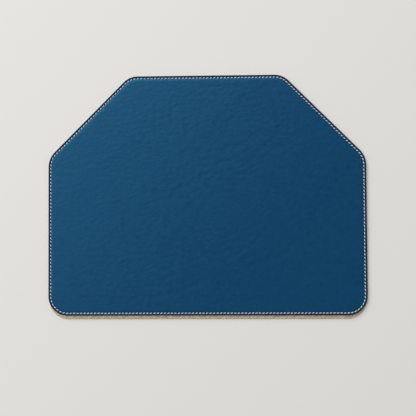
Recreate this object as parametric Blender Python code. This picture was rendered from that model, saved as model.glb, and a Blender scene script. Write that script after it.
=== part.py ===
"""A stitched leather desk mat with two clipped back corners, in separate pieces.

The mat lies on z = 0 with +Z up, +X to the right and -Y towards the person at
the desk. The origin is the centre of the rectangle that the underside fills.
From the desk upwards the pieces are the suede backing, the lower glue film,
the fibre board, the upper glue film and the leather sheet. The board's front
edge is skived: it slopes from the leather's edge out to the backing's, which
reaches further forward. A coat of edge paint covers the leather's cut edge.
One seam locks the layers together all the way round. Its needle thread lies
in a groove in the leather, and its bobbin thread in a groove in the backing.

Each piece follows the leather's outline, so it is drawn as loops parallel to
that outline. A loop has an inset from the outline, a height, and a foot: how
far forward its front edge and front corners are moved.
"""

import math

import bmesh
import bpy
from mathutils import Vector

# Driving dimensions of the outline, in metres.
SHEET_WIDTH = 0.400
SHEET_DEPTH = 0.302
CLIP = 0.1033
FRONT_RADIUS = 0.0245
SIDE_RADIUS = 0.0275
BACK_RADIUS = 0.0250
FOOT = 0.0046
ARC_STEP = math.radians(5)

# Driving dimensions of the layers.
BACKING_THICKNESS = 0.0008
BOARD_THICKNESS = 0.0021
LEATHER_THICKNESS = 0.0014
GLUE_THICKNESS = 0.00012
GLUE_INSET = 0.0006
RIM_ROUND = 0.0004

# The edge paint: the coat on the cut edge, and its lap over the leather's rim.
PAINT_THICKNESS = 0.00025
PAINT_LAP = 0.0010
PAINT_LAP_THICKNESS = 0.00008
PAINT_CLEARANCE = 0.00003

# The seam.
SEAM_INSET = 0.0031
THREAD_WIDTH = 0.0008
THREAD_CHAMFER = 0.00016
NEEDLE_THREAD_HEIGHT = 0.00065
BOBBIN_THREAD_HEIGHT = 0.0005
GROOVE_CLEARANCE = 0.0001
LEATHER_GROOVE_DEPTH = 0.00045
BACKING_GROOVE_CLEARANCE = 0.00005

# Heights and insets worked out from the above.
LOWER_GLUE_BOTTOM = BACKING_THICKNESS
BOARD_BOTTOM = LOWER_GLUE_BOTTOM + GLUE_THICKNESS
UPPER_GLUE_BOTTOM = BOARD_BOTTOM + BOARD_THICKNESS
LEATHER_BOTTOM = UPPER_GLUE_BOTTOM + GLUE_THICKNESS
LEATHER_TOP = LEATHER_BOTTOM + LEATHER_THICKNESS
LEATHER_INSET = PAINT_THICKNESS + PAINT_CLEARANCE
GROOVE_OUTER = SEAM_INSET - THREAD_WIDTH / 2 - GROOVE_CLEARANCE
GROOVE_INNER = SEAM_INSET + THREAD_WIDTH / 2 + GROOVE_CLEARANCE
LEATHER_GROOVE_FLOOR = LEATHER_TOP - LEATHER_GROOVE_DEPTH
BACKING_GROOVE_DEPTH = BOBBIN_THREAD_HEIGHT + BACKING_GROOVE_CLEARANCE

# Colours as Blender's linear RGB, roughness, and metallic value.
MATERIALS = {
    "blue_leather": ((0.012, 0.078, 0.165), 0.50, 0.0),
    "navy_edge_paint": ((0.004, 0.022, 0.055), 0.40, 0.0),
    "tan_fibre_board": ((0.400, 0.290, 0.190), 0.95, 0.0),
    "tan_suede": ((0.360, 0.260, 0.175), 1.00, 0.0),
    "clear_glue": ((0.620, 0.600, 0.520), 0.60, 0.0),
    "cream_thread": ((0.620, 0.600, 0.570), 0.75, 0.0),
}


def clear_scene():
    for obj in list(bpy.data.objects):
        bpy.data.objects.remove(obj)


def material(name):
    """The Principled material of this name, made the first time it is asked for."""
    if name in bpy.data.materials:
        return bpy.data.materials[name]
    colour, roughness, metallic = MATERIALS[name]
    made = bpy.data.materials.new(name)
    made.use_nodes = True
    shader = made.node_tree.nodes["Principled BSDF"]
    shader.inputs["Base Color"].default_value = (*colour, 1.0)
    shader.inputs["Roughness"].default_value = roughness
    shader.inputs["Metallic"].default_value = metallic
    made.diffuse_color = (*colour, 1.0)
    return made


def corner_arcs():
    """The outline's corners, anticlockwise from the front left one.

    Each is (centre, radius, first angle, last angle, True at the front).
    """
    side = SHEET_WIDTH / 2
    back = (SHEET_DEPTH + FOOT) / 2
    front = back - SHEET_DEPTH
    sharp_corners = [
        ((-side, front), FRONT_RADIUS, 180, 270),
        ((side, front), FRONT_RADIUS, 270, 360),
        ((side, back - CLIP), SIDE_RADIUS, 0, 45),
        ((side - CLIP, back), BACK_RADIUS, 45, 90),
        ((CLIP - side, back), BACK_RADIUS, 90, 135),
        ((-side, back - CLIP), SIDE_RADIUS, 135, 180),
    ]
    arcs = []
    for corner, radius, start, end in sharp_corners:
        start, end = math.radians(start), math.radians(end)
        before = Vector((math.cos(start), math.sin(start)))
        after = Vector((math.cos(end), math.sin(end)))
        centre = Vector(corner) - radius * (before + after) / (1 + before.dot(after))
        arcs.append((centre, radius, start, end, corner[1] == front))
    return arcs


def add_loop(bm, inset, z, foot=0.0):
    """The outline drawn in by inset at height z, as a loop of vertices."""
    loop = []
    for centre, radius, start, end, at_front in corner_arcs():
        forward = foot if at_front else 0.0
        steps = round((end - start) / ARC_STEP)
        for step in range(steps + 1):
            angle = start + (end - start) * step / steps
            x = centre.x + (radius - inset) * math.cos(angle)
            y = centre.y + (radius - inset) * math.sin(angle) - forward
            loop.append(bm.verts.new((x, y, z)))
    return loop


def bridge(bm, lower, upper):
    """The band of faces between two loops."""
    for i, vertex in enumerate(lower):
        j = (i + 1) % len(lower)
        bm.faces.new((vertex, lower[j], upper[j], upper[i]))


def add_object(name, bm, material_name):
    bmesh.ops.recalc_face_normals(bm, faces=bm.faces)
    mesh = bpy.data.meshes.new(name)
    bm.to_mesh(mesh)
    bm.free()
    mesh.materials.append(material(material_name))
    mesh.shade_smooth()
    mesh.set_sharp_from_angle(angle=math.radians(30))
    obj = bpy.data.objects.new(name, mesh)
    bpy.context.scene.collection.objects.link(obj)


def add_layer(name, material_name, profile):
    """A sheet: its profile's loops with bands between them, and a flat cap at each end.

    The profile lists (inset, z) or (inset, z, foot), from the middle of the
    underside round the edge to the middle of the top.
    """
    bm = bmesh.new()
    loops = [add_loop(bm, *row) for row in profile]
    bm.faces.new(reversed(loops[0]))
    for lower, upper in zip(loops, loops[1:]):
        bridge(bm, lower, upper)
    bm.faces.new(loops[-1])
    add_object(name, bm, material_name)


def add_ring(name, material_name, section):
    """A closed ring: the section, a list of (inset, z), taken round the outline."""
    bm = bmesh.new()
    loops = [add_loop(bm, *row) for row in section]
    for lower, upper in zip(loops, loops[1:] + loops[:1]):
        bridge(bm, lower, upper)
    add_object(name, bm, material_name)


def rounded_rim(inset, top):
    """The rim's profile, from its wall up round to its flat top."""
    cut = RIM_ROUND * (1 - math.cos(math.radians(45)))
    return [
        (inset, top - RIM_ROUND),
        (inset + cut, top - cut),
        (inset + RIM_ROUND, top),
    ]


def add_backing():
    """The suede backing: flat, with the bobbin thread's groove in its underside."""
    profile = [
        (GROOVE_INNER, 0.0),
        (GROOVE_INNER, BACKING_GROOVE_DEPTH),
        (GROOVE_OUTER, BACKING_GROOVE_DEPTH),
        (GROOVE_OUTER, 0.0),
        (0.0, 0.0, FOOT),
        (0.0, BACKING_THICKNESS, FOOT),
    ]
    add_layer("suede_backing", "tan_suede", profile)


def add_board():
    """The fibre board, skived at the front from the backing's edge to the leather's."""
    profile = [
        (0.0, BOARD_BOTTOM, FOOT),
        (0.0, UPPER_GLUE_BOTTOM),
    ]
    add_layer("fibre_board", "tan_fibre_board", profile)


def add_glue(name, bottom, foot):
    """A film of contact glue between two layers, held back from their edges."""
    profile = [
        (GLUE_INSET, bottom, foot),
        (GLUE_INSET, bottom + GLUE_THICKNESS, foot),
    ]
    add_layer(name, "clear_glue", profile)


def add_leather():
    """The leather sheet, with a rounded rim and the needle thread's groove."""
    profile = [
        (LEATHER_INSET, LEATHER_BOTTOM),
        *rounded_rim(LEATHER_INSET, LEATHER_TOP),
        (GROOVE_OUTER, LEATHER_TOP),
        (GROOVE_OUTER, LEATHER_GROOVE_FLOOR),
        (GROOVE_INNER, LEATHER_GROOVE_FLOOR),
        (GROOVE_INNER, LEATHER_TOP),
    ]
    add_layer("leather_sheet", "blue_leather", profile)


def add_edge_paint():
    """The coat on the leather's cut edge, lapping over its rounded rim."""
    lap_bottom = LEATHER_TOP + PAINT_CLEARANCE
    lap_top = lap_bottom + PAINT_LAP_THICKNESS
    section = [
        (0.0, LEATHER_BOTTOM),
        *rounded_rim(0.0, lap_top),
        (PAINT_LAP, lap_top),
        (PAINT_LAP, lap_bottom),
        *reversed(rounded_rim(PAINT_THICKNESS, lap_bottom)),
        (PAINT_THICKNESS, LEATHER_BOTTOM),
    ]
    add_ring("edge_paint", "navy_edge_paint", section)


def add_thread(name, bottom, height):
    """One thread of the lockstitch, as a ring that lies along the seam."""
    top = bottom + height
    outer = SEAM_INSET - THREAD_WIDTH / 2
    inner = SEAM_INSET + THREAD_WIDTH / 2
    section = [
        (outer + THREAD_CHAMFER, bottom),
        (outer, bottom + THREAD_CHAMFER),
        (outer, top - THREAD_CHAMFER),
        (outer + THREAD_CHAMFER, top),
        (inner - THREAD_CHAMFER, top),
        (inner, top - THREAD_CHAMFER),
        (inner, bottom + THREAD_CHAMFER),
        (inner - THREAD_CHAMFER, bottom),
    ]
    add_ring(name, "cream_thread", section)


def main():
    clear_scene()
    add_backing()
    add_glue("lower_glue", LOWER_GLUE_BOTTOM, FOOT)
    add_board()
    add_glue("upper_glue", UPPER_GLUE_BOTTOM, 0.0)
    add_leather()
    add_edge_paint()
    add_thread("needle_thread", LEATHER_GROOVE_FLOOR, NEEDLE_THREAD_HEIGHT)
    add_thread("bobbin_thread", BACKING_GROOVE_CLEARANCE, BOBBIN_THREAD_HEIGHT)


main()
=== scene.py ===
"""The looks of a stitched leather desk mat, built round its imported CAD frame.

Everything follows the outline of the leather. A track is a row of stations
along that outline, evenly spaced along the seam, so that a whole number of
stitches fits round the mat. A loop of vertices is the track drawn in by an
inset at a height, and skins of loops make the leather, the coat on its edge,
the glue, the board and the suede. The threads follow the same track. Lengths
are in metres and angles in radians, unless a name says otherwise.
"""

import math
from collections import namedtuple

import bpy
import numpy as np
from mathutils import Matrix, Vector, noise


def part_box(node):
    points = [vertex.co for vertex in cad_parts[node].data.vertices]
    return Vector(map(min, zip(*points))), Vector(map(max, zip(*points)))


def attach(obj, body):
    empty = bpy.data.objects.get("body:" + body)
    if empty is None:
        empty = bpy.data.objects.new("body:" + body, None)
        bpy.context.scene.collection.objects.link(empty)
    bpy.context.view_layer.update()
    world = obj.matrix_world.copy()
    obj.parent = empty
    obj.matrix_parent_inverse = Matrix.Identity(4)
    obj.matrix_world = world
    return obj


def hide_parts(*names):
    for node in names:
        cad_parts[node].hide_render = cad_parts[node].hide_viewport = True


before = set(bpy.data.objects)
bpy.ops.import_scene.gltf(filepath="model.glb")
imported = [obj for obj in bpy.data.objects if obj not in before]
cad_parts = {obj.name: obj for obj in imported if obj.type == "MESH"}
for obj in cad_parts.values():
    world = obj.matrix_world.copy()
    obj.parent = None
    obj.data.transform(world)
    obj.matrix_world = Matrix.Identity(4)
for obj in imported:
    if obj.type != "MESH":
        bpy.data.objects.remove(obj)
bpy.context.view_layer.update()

MM = 0.001

# The CAD model's outline: its box, and the sizes that a box can't give.
OUTLINE_LOW, OUTLINE_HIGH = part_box("edge_paint")
CLIP = 103.3 * MM
FRONT_RADIUS = 24.5 * MM
SIDE_RADIUS = 27.5 * MM
BACK_RADIUS = 25.0 * MM
FOOT = OUTLINE_LOW.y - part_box("suede_backing")[0].y

# Heights of the CAD model's layers.
BACKING_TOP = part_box("suede_backing")[1].z
BOARD_BOTTOM, BOARD_TOP = (corner.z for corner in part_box("fibre_board"))
LEATHER_BOTTOM, LEATHER_TOP = (corner.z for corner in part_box("leather_sheet"))
LEATHER_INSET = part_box("leather_sheet")[0].x - OUTLINE_LOW.x

# The seam.
THREAD_WIDTH = 0.8 * MM
SEAM_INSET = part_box("needle_thread")[0].x - OUTLINE_LOW.x + THREAD_WIDTH / 2
STITCH_LENGTH = 4.4 * MM
STITCH_ENDS = (0.14, 0.86)
HOLE_LENGTH = 1.5 * MM
HOLE_WIDTH = 0.9 * MM
# How far through a stitch the leather's stations lie: closest near the needle holes.
STITCH_PHASES = (0.0, 0.055, 0.12, 0.26, 0.5, 0.74, 0.88, 0.945)

Track = namedtuple("Track", "base outward forward phase")


# ---------------------------------------------------------------- the outline


def corner_arcs():
    """The outline's corners, anticlockwise from the front left one.

    Each is (centre, radius, first angle, last angle, forward), where forward
    is 1 at the front, whose foot reaches beyond the leather, and 0 elsewhere.
    """
    left, front = OUTLINE_LOW.x, OUTLINE_LOW.y
    right, back = OUTLINE_HIGH.x, OUTLINE_HIGH.y
    sharp_corners = [
        ((left, front), FRONT_RADIUS, 180, 270, 1),
        ((right, front), FRONT_RADIUS, 270, 360, 1),
        ((right, back - CLIP), SIDE_RADIUS, 0, 45, 0),
        ((right - CLIP, back), BACK_RADIUS, 45, 90, 0),
        ((left + CLIP, back), BACK_RADIUS, 90, 135, 0),
        ((left, back - CLIP), SIDE_RADIUS, 135, 180, 0),
    ]
    arcs = []
    for corner, radius, start, end, forward in sharp_corners:
        start, end = math.radians(start), math.radians(end)
        before = np.array((math.cos(start), math.sin(start)))
        after = np.array((math.cos(end), math.sin(end)))
        centre = np.array(corner) - radius * (before + after) / (1 + before @ after)
        arcs.append((centre, radius, start, end, forward))
    return arcs


def outline_runs():
    """The outline as (length along the seam, sampler) runs: arc, straight, arc and so on.

    A sampler takes shares of its run, and gives base points, outward normals
    and how far each goes forward with the foot.
    """
    arcs = corner_arcs()
    runs = []
    for i, (centre, radius, start, end, forward) in enumerate(arcs):
        next_centre, next_radius, next_start, _, next_forward = arcs[(i + 1) % len(arcs)]

        def along_arc(t, centre=centre, radius=radius, start=start, end=end, forward=forward):
            angle = start + (end - start) * t
            outward = np.stack((np.cos(angle), np.sin(angle)), 1)
            return centre + radius * outward, outward, np.full(len(t), float(forward))

        normal = np.array((math.cos(end), math.sin(end)))
        first = centre + radius * normal
        last = next_centre + next_radius * normal

        def along_side(t, first=first, last=last, normal=normal, a=forward, b=next_forward):
            base = first + (last - first) * t[:, None]
            return base, np.tile(normal, (len(t), 1)), a + (b - a) * t

        runs.append(((radius - SEAM_INSET) * (end - start), along_arc))
        runs.append((np.linalg.norm(last - first), along_side))
    return runs


RUNS = outline_runs()
SEAM_LENGTH = sum(length for length, _ in RUNS)
STITCHES = round(SEAM_LENGTH / STITCH_LENGTH)


def track_at(places):
    """The track at these places, each counted in stitches along the seam."""
    places = np.asarray(places, float)
    along = (places % STITCHES) * SEAM_LENGTH / STITCHES
    base = np.zeros((len(places), 2))
    outward = np.zeros((len(places), 2))
    forward = np.zeros(len(places))
    start = 0.0
    for length, sample in RUNS:
        here = (along >= start) & (along < start + length)
        if here.any():
            share = (along[here] - start) / length
            base[here], outward[here], forward[here] = sample(share)
        start += length
    return Track(base, outward, forward, places % 1)


def even_track(per_stitch):
    return track_at(np.arange(STITCHES * per_stitch) / per_stitch)


def seam_track():
    """Stations that crowd round each needle hole."""
    return track_at((np.arange(STITCHES)[:, None] + np.array(STITCH_PHASES)).ravel())


def loop_points(track, inset, height, foot=0.0):
    """The track's vertices at an inset and a height, each one value or one for each station."""
    inset = np.broadcast_to(inset, len(track.base))
    plane = track.base - inset[:, None] * track.outward
    plane[:, 1] -= foot * track.forward
    return np.column_stack((plane, np.broadcast_to(height, len(plane))))


# ------------------------------------------------------------- building meshes


class Skin:
    """A mesh in the making: loops of vertices, and the faces between them."""

    def __init__(self):
        self.points = []
        self.faces = []
        self.count = 0

    def loop(self, points):
        first = self.count
        self.points.append(np.asarray(points, float))
        self.count += len(points)
        return np.arange(first, self.count)

    def bridge(self, lower, upper):
        quads = np.stack((lower, np.roll(lower, -1), np.roll(upper, -1), upper), 1)
        self.faces.extend(quads.tolist())

    def bridge_all(self, loops):
        for lower, upper in zip(loops, loops[1:]):
            self.bridge(lower, upper)

    def gather(self, fine, coarse):
        """Faces from a fine loop in to a coarse one, which has one vertex for several."""
        step = len(fine) // len(coarse)
        for i in range(len(coarse)):
            edge = [fine[(i * step + j) % len(fine)] for j in range(step + 1)]
            self.faces.append([*edge, coarse[(i + 1) % len(coarse)], coarse[i]])

    def spread(self, coarse, fine):
        """The same from a coarse loop out to a fine one."""
        step = len(fine) // len(coarse)
        for i in range(len(coarse)):
            edge = [fine[(i * step + j) % len(fine)] for j in range(step, -1, -1)]
            self.faces.append([coarse[i], coarse[(i + 1) % len(coarse)], *edge])

    def cap(self, loop, up=True):
        self.faces.append(list(loop) if up else list(reversed(loop)))

    def piece(self, name, material, replaces=()):
        return add_piece(name, np.concatenate(self.points), self.faces, material, replaces)


def add_piece(name, points, faces, material, replaces=()):
    """A mesh object that rides on the mat's one body and stands for these CAD nodes."""
    mesh = bpy.data.meshes.new(name)
    mesh.from_pydata(np.asarray(points).tolist(), [], faces)
    mesh.materials.append(material)
    mesh.shade_smooth()
    mesh.set_sharp_from_angle(angle=math.radians(60))
    obj = bpy.data.objects.new(name, mesh)
    bpy.context.scene.collection.objects.link(obj)
    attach(obj, "root")
    if replaces:
        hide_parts(*replaces)
    return obj


def fractal(points, size, octaves=3, seed=0):
    """Fractal noise at each point, about -1 to 1, with features of that size."""
    shift = Vector((seed * 17.3, seed * 5.1, seed * 9.7))
    found = [
        noise.fractal(Vector(point) / size + shift, 1.0, 2.0, octaves, noise_basis="PERLIN_ORIGINAL")
        for point in points
    ]
    return np.array(found)


# ------------------------------------------------------------------- materials


class Shader:
    """A material's nodes, with one short call for each kind that the mat needs."""

    def __init__(self, name, **sockets):
        self.material = bpy.data.materials.new(name)
        self.material.use_nodes = True
        self.tree = self.material.node_tree
        self.surface = self.tree.nodes["Principled BSDF"]
        for socket, value in sockets.items():
            self.set(socket.replace("_", " "), value)
        self.place = self.tree.nodes.new("ShaderNodeTexCoord").outputs["Object"]

    def set(self, socket, value):
        self.feed(self.surface.inputs[socket], value)

    def feed(self, socket, value):
        if isinstance(value, bpy.types.NodeSocket):
            self.tree.links.new(value, socket)
        elif socket.type == "RGBA" and len(value) == 3:
            socket.default_value = (*value, 1.0)
        else:
            socket.default_value = value

    def node(self, kind, inputs, output=0, **settings):
        made = self.tree.nodes.new("ShaderNode" + kind)
        for setting, value in settings.items():
            setattr(made, setting, value)
        for socket, value in inputs.items():
            self.feed(made.inputs[socket], value)
        return made.outputs[output]

    def stretched(self, x, y, z, turn=0.0):
        """Object coordinates, counted in these lengths along axes turned about Z."""
        inputs = {"Vector": self.place, "Scale": (x, y, z), "Rotation": (0, 0, turn)}
        return self.node("Mapping", inputs, vector_type="TEXTURE")

    def noise(self, place, detail=3.0, roughness=0.5, distortion=0.0):
        inputs = {
            "Vector": place,
            "Scale": 1.0,
            "Detail": detail,
            "Roughness": roughness,
            "Distortion": distortion,
        }
        return self.node("TexNoise", inputs, output="Fac")

    def cells(self, place, feature="F1", output="Distance", randomness=1.0):
        inputs = {"Vector": place, "Scale": 1.0, "Randomness": randomness}
        return self.node("TexVoronoi", inputs, output=output, feature=feature)

    def maths(self, operation, a, b=0.0):
        return self.node("Math", {0: a, 1: b}, operation=operation)

    def remap(self, value, low, high, new_low, new_high):
        inputs = {
            "Value": value,
            "From Min": low,
            "From Max": high,
            "To Min": new_low,
            "To Max": new_high,
        }
        return self.node("MapRange", inputs, output="Result")

    def mix(self, share, a, b, blend="MIX"):
        made = self.tree.nodes.new("ShaderNodeMix")
        made.data_type = "RGBA"
        made.blend_type = blend
        self.feed(made.inputs[0], share)
        self.feed(made.inputs[6], a)
        self.feed(made.inputs[7], b)
        return made.outputs[2]

    def bump(self, height, depth, under=None):
        inputs = {"Height": height, "Distance": depth, "Strength": 1.0}
        if under is not None:
            inputs["Normal"] = under
        return self.node("Bump", inputs, output="Normal")


def blue_leather():
    """Pigmented, fine-pebbled leather with a soft sheen."""
    shader = Shader(
        "blue_leather",
        Specular_IOR_Level=1.0,
        Specular_Tint=(0.13, 0.62, 1.0, 1.0),
    )
    warp = shader.noise(shader.stretched(2.5 * MM, 2.5 * MM, 2.5 * MM), detail=2.0)
    pebble_place = shader.node(
        "VectorMath",
        {
            0: shader.stretched(0.95 * MM, 0.95 * MM, 0.95 * MM),
            1: shader.node("CombineXYZ", {"X": warp, "Y": shader.maths("MULTIPLY", warp, -0.7)}),
        },
        operation="ADD",
    )
    pebbles = shader.cells(pebble_place, feature="SMOOTH_F1")
    creases = shader.cells(pebble_place, feature="DISTANCE_TO_EDGE")
    pores = shader.noise(shader.stretched(0.22 * MM, 0.22 * MM, 0.22 * MM), detail=2.0)
    clouds = shader.noise(shader.stretched(7 * MM, 5.5 * MM, 7 * MM), detail=4.0, roughness=0.6)
    drift = shader.noise(shader.stretched(70 * MM, 45 * MM, 70 * MM), detail=2.0)

    base = shader.mix(
        shader.remap(clouds, 0.3, 0.7, 0.0, 1.0),
        (0.0004, 0.0200, 0.0730),
        (0.0007, 0.0325, 0.1010),
    )
    base = shader.mix(shader.remap(drift, 0.35, 0.65, 0.0, 0.5), base, (0.0005, 0.0275, 0.0900))
    broken = shader.noise(shader.stretched(2.2 * MM, 2.2 * MM, 2.2 * MM), detail=2.0)
    fade = shader.remap(broken, 0.40, 0.60, 0.15, 1.0)
    # Painted shade: the grain's creases are darkened in the base colour, standing for the shade that falls in
    # them; the same mask also raises their roughness.
    crease_shade_mask = shader.maths("MULTIPLY", shader.remap(creases, 0.0, 0.16, 0.28, 0.0), fade)
    base = shader.mix(crease_shade_mask, base, (0.0004, 0.017, 0.055))
    shader.set("Base Color", base)
    rough = shader.remap(clouds, 0.25, 0.75, 0.46, 0.54)
    shader.set("Roughness", shader.maths("ADD", rough, shader.maths("MULTIPLY", crease_shade_mask, 0.3)))

    relief = shader.maths("SUBTRACT", 1.0, shader.maths("POWER", pebbles, 2.0))
    grooves = shader.maths("MULTIPLY", shader.remap(creases, 0.0, 0.2, -1.0, 0.0), fade)
    height = shader.maths("ADD", shader.maths("MULTIPLY", relief, 0.6), grooves)
    swells = shader.noise(shader.stretched(6.5 * MM, 5 * MM, 6 * MM), detail=1.5)
    supple = shader.bump(swells, 0.36 * MM)
    grain = shader.bump(height, 0.035 * MM, under=supple)
    shader.set("Normal", shader.bump(pores, 0.012 * MM, under=grain))
    return shader.material


def navy_coat_and_rim_shade():
    """Brushed-on acrylic edge paint, a little uneven. Where it laps over the rim, its dark navy also stands
    for the rim's shade: painted shade.
    """
    shader = Shader("navy_edge_paint", Specular_IOR_Level=0.12, Specular_Tint=(0.4, 0.75, 1.0, 1.0))
    brushed = shader.noise(shader.stretched(1.6 * MM, 1.6 * MM, 0.5 * MM), detail=3.0)
    drift = shader.noise(shader.stretched(14 * MM, 14 * MM, 14 * MM), detail=2.0)
    shader.set("Base Color", shader.mix(drift, (0.0008, 0.009, 0.028), (0.0014, 0.013, 0.036)))
    shader.set("Roughness", shader.remap(brushed, 0.3, 0.7, 0.66, 0.78))
    shader.set("Normal", shader.bump(brushed, 0.03 * MM))
    return shader.material


def tan_fibre():
    """The raw cut of bonded leather board: matted fibres, mostly lying along the sheet."""
    shader = Shader("tan_fibre_board", Specular_IOR_Level=0.2, Sheen_Weight=0.2, Sheen_Roughness=0.6)
    strands = shader.noise(
        shader.stretched(1.5 * MM, 0.35 * MM, 0.16 * MM, turn=0.5),
        detail=4.0,
        roughness=0.65,
        distortion=0.4,
    )
    clumps = shader.noise(shader.stretched(4.2 * MM, 1.6 * MM, 1.6 * MM, turn=0.7), detail=3.0)
    specks = shader.noise(shader.stretched(0.3 * MM, 0.3 * MM, 0.3 * MM), detail=2.0)
    tan = shader.mix(shader.remap(clumps, 0.3, 0.7, 0.0, 1.0), (0.46, 0.315, 0.19), (0.95, 0.72, 0.50))
    tan = shader.mix(shader.remap(strands, 0.35, 0.6, 0.5, 0.0), tan, (0.36, 0.25, 0.16))
    tan = shader.mix(shader.remap(specks, 0.62, 0.75, 0.0, 0.5), tan, (0.78, 0.67, 0.53))
    shader.set("Base Color", tan)
    shader.set("Roughness", shader.remap(strands, 0.3, 0.7, 0.98, 0.85))
    rough = shader.bump(strands, 0.12 * MM)
    shader.set("Normal", shader.bump(specks, 0.05 * MM, under=rough))
    return shader.material


def tan_suede():
    """Napped microsuede, whose brushed patches catch the light differently."""
    shader = Shader("tan_suede", Specular_IOR_Level=0.15, Sheen_Weight=0.5, Sheen_Roughness=0.4)
    nap = shader.noise(shader.stretched(0.25 * MM, 0.5 * MM, 0.25 * MM), detail=3.0, roughness=0.7)
    brushed = shader.noise(shader.stretched(22 * MM, 9 * MM, 9 * MM), detail=3.0, distortion=0.6)
    tan = shader.mix(shader.remap(brushed, 0.35, 0.65, 0.0, 1.0), (0.33, 0.235, 0.155), (0.41, 0.30, 0.205))
    tan = shader.mix(shader.remap(nap, 0.3, 0.6, 0.35, 0.0), tan, (0.22, 0.15, 0.095))
    shader.set("Base Color", tan)
    shader.set("Roughness", shader.remap(brushed, 0.3, 0.7, 0.95, 0.85))
    shader.set("Normal", shader.bump(nap, 0.08 * MM))
    return shader.material


def cream_thread():
    """Waxed polyester thread: fine filaments that run along each ply."""
    shader = Shader("cream_thread", Specular_IOR_Level=0.4, Sheen_Weight=0.25, Sheen_Roughness=0.5)
    filaments = shader.noise(shader.stretched(0.12 * MM, 0.12 * MM, 0.12 * MM), detail=3.0)
    soil = shader.noise(shader.stretched(6 * MM, 6 * MM, 6 * MM), detail=2.0)
    cream = shader.mix(shader.remap(soil, 0.3, 0.7, 0.0, 1.0), (0.76, 0.71, 0.69), (0.88, 0.83, 0.81))
    cream = shader.mix(shader.remap(filaments, 0.35, 0.6, 0.4, 0.0), cream, (0.56, 0.52, 0.47))
    shader.set("Base Color", cream)
    shader.set("Roughness", shader.remap(filaments, 0.3, 0.7, 0.75, 0.6))
    shader.set("Normal", shader.bump(filaments, 0.02 * MM))
    return shader.material


def dried_glue():
    """Contact glue: a thin yellowish film, glossy where it has been squeezed out."""
    shader = Shader("clear_glue", Specular_IOR_Level=0.5)
    blotches = shader.noise(shader.stretched(2 * MM, 2 * MM, 0.4 * MM), detail=3.0)
    shader.set("Base Color", shader.mix(blotches, (0.40, 0.33, 0.22), (0.58, 0.52, 0.40)))
    shader.set("Roughness", shader.remap(blotches, 0.3, 0.7, 0.35, 0.6))
    shader.set("Normal", shader.bump(blotches, 0.03 * MM))
    return shader.material


# ---------------------------------------------------------------- the leather


def dip(distance, depth, width):
    """A smooth hollow of this depth, which has faded away at about twice its width."""
    return -depth * np.exp(-((distance / width) ** 2))


def leather_height(inset, phase):
    """The height of the leather's top at an inset and a phase through a stitch."""
    across = inset - SEAM_INSET
    to_hole = np.minimum(phase, 1 - phase) * STITCH_LENGTH
    height = LEATHER_TOP + dip(across, 0.14 * MM, 0.8 * MM) + dip(across, 0.56 * MM, 1.9 * MM)
    height += dip(np.hypot(across / HOLE_WIDTH, to_hole / HOLE_LENGTH), 0.45 * MM, 0.5)
    # The rim is drawn down in slanting tucks, one from each stitch out to the edge.
    tuck_phase = phase + across / STITCH_LENGTH
    on_rim = np.exp(-(((across + 1.25 * MM) / (0.75 * MM)) ** 2))
    height += 0.045 * MM * np.cos(2 * math.pi * (tuck_phase - 0.5)) * on_rim
    # Beside the middle of each stitch the field swells a little.
    beside = np.exp(-(((across - 1.5 * MM) / (0.8 * MM)) ** 2))
    height += 0.030 * MM * np.cos(2 * math.pi * (phase - 0.5)) * beside
    return height


def rim_rows():
    """(inset, drop below the top) round the leather's edge, from its wall to its top."""
    radius = 0.4 * MM
    for degrees in (0, 25, 50, 72, 90):
        angle = math.radians(degrees)
        yield LEATHER_INSET + radius * (1 - math.cos(angle)), radius * (1 - math.sin(angle))


def field_swell(points):
    """The slow rise and fall of leather that has been laid by hand, in metres."""
    return 0.07 * MM * fractal(points, 85 * MM, octaves=2, seed=3)


def make_leather():
    """The sheet: fine loops near the seam, then coarse ones that close on the middle."""
    track = seam_track()
    coarse = track_at(np.arange(STITCHES))
    skin = Skin()

    underside = skin.loop(loop_points(coarse, 12 * MM, LEATHER_BOTTOM))
    skin.cap(underside, up=False)
    bottom_edge = skin.loop(loop_points(track, LEATHER_INSET, LEATHER_BOTTOM))
    skin.spread(underside, bottom_edge)

    loops = [bottom_edge]
    for inset, drop in rim_rows():
        height = leather_height(np.full(len(track.phase), inset), track.phase) - drop
        loops.append(skin.loop(loop_points(track, inset, height)))
    insets_mm = [0.9, 1.2, 1.5, 1.8, 2.05, 2.3, 2.5, 2.7, 2.9, 3.1, 3.3, 3.5, 3.7, 3.9, 4.15]
    insets_mm += [4.45, 4.8, 5.3, 6.0, 7.0, 8.5, 10.5]
    for inset_mm in insets_mm:
        inset = inset_mm * MM
        height = leather_height(np.full(len(track.phase), inset), track.phase)
        loops.append(skin.loop(loop_points(track, inset, height)))
    skin.bridge_all(loops)

    rings = 34
    outer = loop_points(coarse, 12.5 * MM, LEATHER_TOP)
    middle = np.array((0.0, (OUTLINE_LOW.y + OUTLINE_HIGH.y) / 2, LEATHER_TOP))
    field = []
    for ring in range(rings):
        share = 1 - ring / rings
        points = middle + (outer - middle) * share
        fade = min(1.0, ring / 4)
        points[:, 2] += fade * field_swell(points)
        field.append(skin.loop(points))
    skin.gather(loops[-1], field[0])
    skin.bridge_all(field)
    skin.cap(field[-1])
    return skin.piece("leather_top", blue_leather(), ["leather_sheet"])


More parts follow.
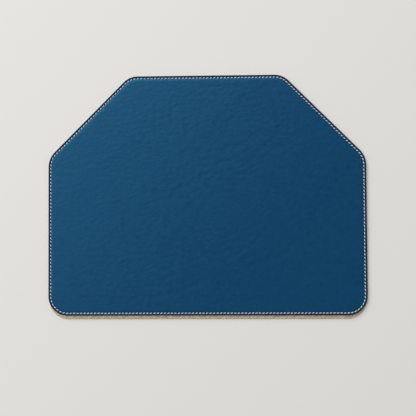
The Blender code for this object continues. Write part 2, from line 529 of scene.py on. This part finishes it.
def make_edge_coat_and_rim_shade():
    """The painted edge: a bead down the wall, and a wavering band lapped over the rim, made wide so that its
    dark navy also paints the rim's shade.
    """
    track = even_track(4)
    waver = fractal(loop_points(track, 0.0, 0.0), 3.5 * MM, octaves=3, seed=1)
    # Painted shade: the band over the rim is about 1.5 mm wide so that, besides being edge paint, its dark
    # navy stands for the shade on the rim's slope.
    rim_shade_lap = (1.48 + 0.16 * waver) * MM
    skin = Skin()
    section = []

    def row(inset, height):
        section.append(skin.loop(loop_points(track, inset, height)))

    def over_leather(inset, drop, thickness):
        inset = np.broadcast_to(inset, len(track.phase))
        row(inset, leather_height(inset, track.phase) - drop + thickness)

    bulge = 0.03 * MM * fractal(loop_points(track, 0.0, 0.0), 2.2 * MM, octaves=2, seed=2)
    row(0.10 * MM, LEATHER_BOTTOM)
    row(0.02 * MM + bulge, LEATHER_BOTTOM + 0.25 * MM)
    row(0.00 * MM + bulge, LEATHER_BOTTOM + 0.60 * MM)
    over_leather(0.04 * MM + bulge, 0.46 * MM, 0.0)
    over_leather(0.16 * MM, 0.21 * MM, 0.0)
    over_leather(0.36 * MM, 0.04 * MM, 0.0)
    over_leather(0.62 * MM, 0.0, 0.05 * MM)
    over_leather(rim_shade_lap - 0.12 * MM, 0.0, 0.04 * MM)
    over_leather(rim_shade_lap, 0.0, 0.012 * MM)
    over_leather(rim_shade_lap, 0.0, 0.004 * MM)
    over_leather(LEATHER_INSET + 0.4 * MM, 0.0, 0.004 * MM)
    over_leather(LEATHER_INSET + 0.12 * MM, 0.12 * MM, 0.015 * MM)
    over_leather(LEATHER_INSET - 0.01 * MM, 0.40 * MM, 0.0)
    row(LEATHER_INSET - 0.01 * MM, LEATHER_BOTTOM)
    skin.bridge_all([*section, section[0]])
    return skin.piece("edge_coat_and_rim_shade", navy_coat_and_rim_shade(), ["edge_paint"])


# ----------------------------------------------------------------- the threads


def make_stitches(name, lie, dive, up, size, ply_sides, seed, node):
    """A row of stitches, each of three twisted plies that dive into a needle hole at both ends.

    lie is the height of the thread's middle where it lies along the seam, dive
    is how deep its ends go, up is 1 on top and -1 underneath, and size is the
    thread's share of its full thickness.
    """
    rng = np.random.default_rng(seed)
    steps, plies = 13, 3
    ply_radius = size * 0.24 * MM
    ply_offset = size * 0.21 * MM
    flatten = 0.74
    slant = 0.36 * MM
    turns = 1.6

    t = np.linspace(*STITCH_ENDS, steps)
    bend = (2 * t - 1) / (STITCH_ENDS[1] - STITCH_ENDS[0])
    places = np.arange(STITCHES)[:, None] + t
    track = track_at(places.ravel())
    jitter = rng.normal(0.0, 0.03 * MM, (STITCHES, 1))
    lean = slant * (1 + rng.normal(0.0, 0.12, (STITCHES, 1)))
    inset = SEAM_INSET + jitter + lean * bend * up
    slope = np.abs(bend) ** 4
    swell = rng.normal(0.0, 0.02 * MM, (STITCHES, 1))
    height = lie + up * (swell - dive * slope + 0.05 * MM * (1 - bend**2))
    centre = loop_points(track, inset.ravel(), height.ravel()).reshape(STITCHES, steps, 3)

    tangent = np.gradient(centre, axis=1)
    tangent /= np.linalg.norm(tangent, axis=2, keepdims=True)
    side = np.zeros_like(centre)
    side[..., :2] = track.outward.reshape(STITCHES, steps, 2)
    side -= (side * tangent).sum(2, keepdims=True) * tangent
    side /= np.linalg.norm(side, axis=2, keepdims=True)
    over = np.cross(side, tangent)

    start = rng.uniform(0, 2 * math.pi, (STITCHES, 1, 1))
    ply = np.arange(plies)[None, :, None] / plies
    angle = start + 2 * math.pi * (ply + turns * t[None, None, :])
    pinch = 1 - 0.25 * slope[None, None, :]
    out = ply_offset * pinch * np.cos(angle)
    rise = ply_offset * pinch * flatten * np.sin(angle)
    middle = (
        centre[:, None]
        + out[..., None] * side[:, None]
        + rise[..., None] * over[:, None]
    )
    around = 2 * math.pi * np.arange(ply_sides) / ply_sides
    ring_out = (ply_radius * pinch)[..., None] * np.cos(around)
    ring_rise = (ply_radius * pinch * flatten)[..., None] * np.sin(around)
    points = (
        middle[..., None, :]
        + ring_out[..., None] * side[:, None, :, None]
        + ring_rise[..., None] * over[:, None, :, None]
    )

    faces = []
    for tube in range(STITCHES * plies):
        first = tube * steps * ply_sides
        rings = np.arange(first, first + steps * ply_sides).reshape(steps, ply_sides)
        for near, far in zip(rings, rings[1:]):
            quads = np.stack((near, far, np.roll(far, -1), np.roll(near, -1)), 1)
            faces.extend(quads.tolist())
        faces.append(rings[0].tolist())
        faces.append(rings[-1][::-1].tolist())
    points = points.reshape(-1, 3)
    return add_piece(name, points, faces, cream_thread(), [node])


# ------------------------------------------------- the glue, board and suede


def make_glue(name, bottom, top, foot, seed, node):
    """A glue film whose edge wanders in and out between the layers."""
    track = even_track(4)
    wander = fractal(loop_points(track, 0.0, 0.0), 6 * MM, octaves=3, seed=seed)
    inset = (0.34 + 0.16 * wander) * MM
    middle = (bottom + top) / 2
    skin = Skin()
    section = [
        skin.loop(loop_points(track, inset + 0.1 * MM, bottom, foot)),
        skin.loop(loop_points(track, inset, middle, foot)),
        skin.loop(loop_points(track, inset + 0.1 * MM, top, foot)),
    ]
    skin.bridge_all(section)
    skin.cap(section[0], up=False)
    skin.cap(section[-1])
    return skin.piece(name, dried_glue(), [node])


def board_section(share):
    """(foot, height) up the board's edge: at the front it is skived, and bulges a little."""
    bulge = 0.9 * MM * share * (1 - share)
    return FOOT * (1 - share) + bulge, BOARD_BOTTOM + (BOARD_TOP - BOARD_BOTTOM) * share


def make_board():
    """The board, with a rough cut edge where fibres stand up and lie over each other."""
    track = even_track(5)
    skin = Skin()
    rows = 12
    edge = []
    for row in range(rows + 1):
        foot, height = board_section(row / rows)
        flat = loop_points(track, 0.0, height, foot)
        roughness = fractal(flat * (1.0, 2.2, 2.2), 1.1 * MM, octaves=4, seed=4)
        ends = 0.35 if row in (0, rows) else 1.0
        inset = (0.05 + 0.07 * ends * roughness) * MM
        edge.append(skin.loop(loop_points(track, inset, height, foot)))
    skin.cap(edge[0], up=False)
    skin.bridge_all(edge)
    skin.cap(edge[-1])
    return skin.piece("board_core", tan_fibre(), ["fibre_board"])


def make_loose_fibres():
    """Short fibres that have come up from the board's cut edge."""
    rng = np.random.default_rng(11)
    count, steps, sides = 3600, 5, 3
    start = rng.uniform(0, STITCHES, count)
    length = rng.uniform(0.8, 2.6, count) * MM
    run = length / STITCH_LENGTH * rng.choice((-1, 1), count)
    share = rng.uniform(0.05, 0.92, count)
    climb = rng.normal(0.0, 0.16, count)
    bow = rng.normal(0.0, 0.10, count)
    t = np.linspace(0, 1, steps)
    places = start[:, None] + run[:, None] * t
    shares = np.clip(share[:, None] + climb[:, None] * t + bow[:, None] * t * (1 - t), 0.02, 0.97)
    lift = rng.uniform(0.02, 0.14, count)[:, None] * np.sin(math.pi * t) * MM
    track = track_at(places.ravel())
    foot, height = board_section(shares.ravel())
    centre = loop_points(track, -lift.ravel() + 0.03 * MM, height)
    centre[:, 1] -= foot * track.forward
    centre[:, 2] += 0.5 * lift.ravel() * track.forward
    centre = centre.reshape(count, steps, 3)

    radius = rng.uniform(0.022, 0.045, count)[:, None] * (1 - 0.75 * t**2) * MM
    side = np.zeros((count, steps, 3))
    side[..., :2] = track.outward.reshape(count, steps, 2)
    over = np.array((0.0, 0.0, 1.0))
    around = 2 * math.pi * np.arange(sides) / sides
    points = centre[:, :, None] + radius[:, :, None, None] * (
        np.cos(around)[:, None] * side[:, :, None] + np.sin(around)[:, None] * over
    )
    faces = []
    for fibre in range(count):
        first = fibre * steps * sides
        rings = np.arange(first, first + steps * sides).reshape(steps, sides)
        if run[fibre] < 0:
            rings = rings[:, ::-1]
        for near, far in zip(rings, rings[1:]):
            quads = np.stack((near, far, np.roll(far, -1), np.roll(near, -1)), 1)
            faces.extend(quads.tolist())
        faces.append(rings[0].tolist())
        faces.append(rings[-1][::-1].tolist())
    points = points.reshape(-1, 3)
    return add_piece("board_fibres", points, faces, tan_fibre())


def suede_underside(inset, phase):
    """The height of the suede's underside, which the bobbin thread draws up."""
    across = inset - SEAM_INSET
    to_hole = np.minimum(phase, 1 - phase) * STITCH_LENGTH
    hole = np.hypot(across / HOLE_WIDTH, to_hole / HOLE_LENGTH)
    rise = -dip(across, 0.50 * MM, 0.62 * MM) - dip(hole, 0.15 * MM, 0.5)
    return np.minimum(rise, BACKING_TOP - 0.12 * MM)


def make_suede():
    """The suede against the desk, with the seam's groove and a soft cut edge."""
    track = seam_track()
    coarse = track_at(np.arange(STITCHES))
    skin = Skin()
    middle = skin.loop(loop_points(coarse, 12 * MM, 0.0))
    skin.cap(middle, up=False)
    loops = []
    for inset_mm in (6.0, 5.0, 4.5, 4.1, 3.8, 3.5, 3.3, 3.1, 2.9, 2.7, 2.4, 2.1, 1.7, 1.2):
        inset = np.full(len(track.phase), inset_mm * MM)
        # The forward foot grows from nothing at the seam to its full length at the edge.
        reach = FOOT * max(0.0, 1 - inset_mm / 2.0)
        loops.append(skin.loop(loop_points(track, inset, suede_underside(inset, track.phase), reach)))
    skin.spread(middle, loops[0])
    fuzz = 0.05 * MM * fractal(loop_points(track, 0.0, 0.0), 0.9 * MM, octaves=2, seed=6)
    loops.append(skin.loop(loop_points(track, 0.18 * MM + fuzz, 0.0, FOOT)))
    loops.append(skin.loop(loop_points(track, 0.03 * MM + fuzz, 0.14 * MM, FOOT)))
    loops.append(skin.loop(loop_points(track, 0.03 * MM - fuzz, BACKING_TOP - 0.14 * MM, FOOT)))
    loops.append(skin.loop(loop_points(track, 0.14 * MM, BACKING_TOP, FOOT)))
    skin.bridge_all(loops)
    skin.cap(loops[-1])
    return skin.piece("suede_lining", tan_suede(), ["suede_backing"])


# ------------------------------------------------------------------- the scene


def make_floor():
    """A plain pale table top, far wider than the mat."""
    half = 2.4
    drop = 0.05 * MM
    corners = [(-half, -half, -drop), (half, -half, -drop), (half, half, -drop), (-half, half, -drop)]
    mesh = bpy.data.meshes.new("floor")
    mesh.from_pydata(corners, [], [(0, 1, 2, 3)])
    shader = Shader("pale_table", Roughness=0.75, Specular_IOR_Level=0.2)
    shader.set("Base Color", (0.755, 0.743, 0.713))
    mesh.materials.append(shader.material)
    floor = bpy.data.objects.new("floor", mesh)
    bpy.context.scene.collection.objects.link(floor)


# How brightly the room lights the mat, and how pale its walls look to the camera.
ROOM_LIGHT = 0.42
ROOM_COLOUR = 0.82


def aimed(position, target):
    """The matrix of a light at position that shines at target."""
    direction = Vector(target) - Vector(position)
    return Matrix.Translation(position) @ direction.to_track_quat("-Z", "Y").to_matrix().to_4x4()


def area_light(name, position, target, width, height, power, colour):
    data = bpy.data.lights.new(name, "AREA")
    data.shape = "RECTANGLE"
    data.size = width
    data.size_y = height
    data.energy = power
    data.color = colour
    obj = bpy.data.objects.new(name, data)
    bpy.context.scene.collection.objects.link(obj)
    obj.matrix_world = aimed(position, target)


def make_lights():
    """A wide window behind, a smaller one to the left, and even light from the room."""
    area_light("back_window", (-2.1, 4.15, 3.65), (0, 0, 0), 4.8, 3.6, 275.0, (1.0, 1.0, 1.0))
    area_light("left_window", (-1.7, 0.0, 2.2), (0, 0, 0), 1.4, 1.4, 14.0, (1.0, 0.995, 0.99))
    world = bpy.data.worlds.new("room")
    world.use_nodes = True
    tree = world.node_tree
    background = tree.nodes["Background"]
    background.inputs["Color"].default_value = (0.98, 0.99, 1.0, 1.0)
    seen = tree.nodes.new("ShaderNodeMapRange")
    seen.inputs["To Min"].default_value = ROOM_LIGHT
    seen.inputs["To Max"].default_value = ROOM_COLOUR
    tree.links.new(tree.nodes.new("ShaderNodeLightPath").outputs["Is Camera Ray"], seen.inputs["Value"])
    tree.links.new(seen.outputs["Result"], background.inputs["Strength"])
    bpy.context.scene.world = world


def make_camera():
    """A camera almost straight above the mat, a little in front of its middle."""
    data = bpy.data.cameras.new("camera")
    data.sensor_width = 36.0
    data.lens = 38.94
    data.clip_start = 0.01
    camera = bpy.data.objects.new("camera", data)
    bpy.context.scene.collection.objects.link(camera)
    middle_y = (OUTLINE_LOW.y + OUTLINE_HIGH.y) / 2
    aim = Vector((1.95 * MM, middle_y - 16.4 * MM, LEATHER_TOP))
    tilt, roll, turn = (math.radians(degrees) for degrees in (-1.07, -1.20, 0.33))
    from_world = Matrix.Rotation(tilt, 4, "X") @ Matrix.Rotation(roll, 4, "Y") @ Matrix.Rotation(turn, 4, "Z")
    height = 564.8 * MM
    camera.matrix_world = (
        Matrix.Translation(aim) @ from_world.transposed() @ Matrix.Translation((0, 0, height))
    )
    bpy.context.scene.camera = camera


def main():
    make_camera()
    make_lights()
    make_floor()
    make_leather()
    make_edge_coat_and_rim_shade()
    make_stitches("needle_stitches", LEATHER_TOP - 0.31 * MM, 1.3 * MM, 1, 1.0, 6, 21, "needle_thread")
    make_stitches("bobbin_stitches", 0.38 * MM, 0.34 * MM, -1, 0.8, 5, 22, "bobbin_thread")
    make_glue("glue_line_upper", BOARD_TOP, LEATHER_BOTTOM, 0.0, 7, "upper_glue")
    make_glue("glue_line_lower", BACKING_TOP, BOARD_BOTTOM, FOOT, 8, "lower_glue")
    make_board()
    make_loose_fibres()
    make_suede()
    bpy.context.scene.view_settings.view_transform = "Standard"


main()
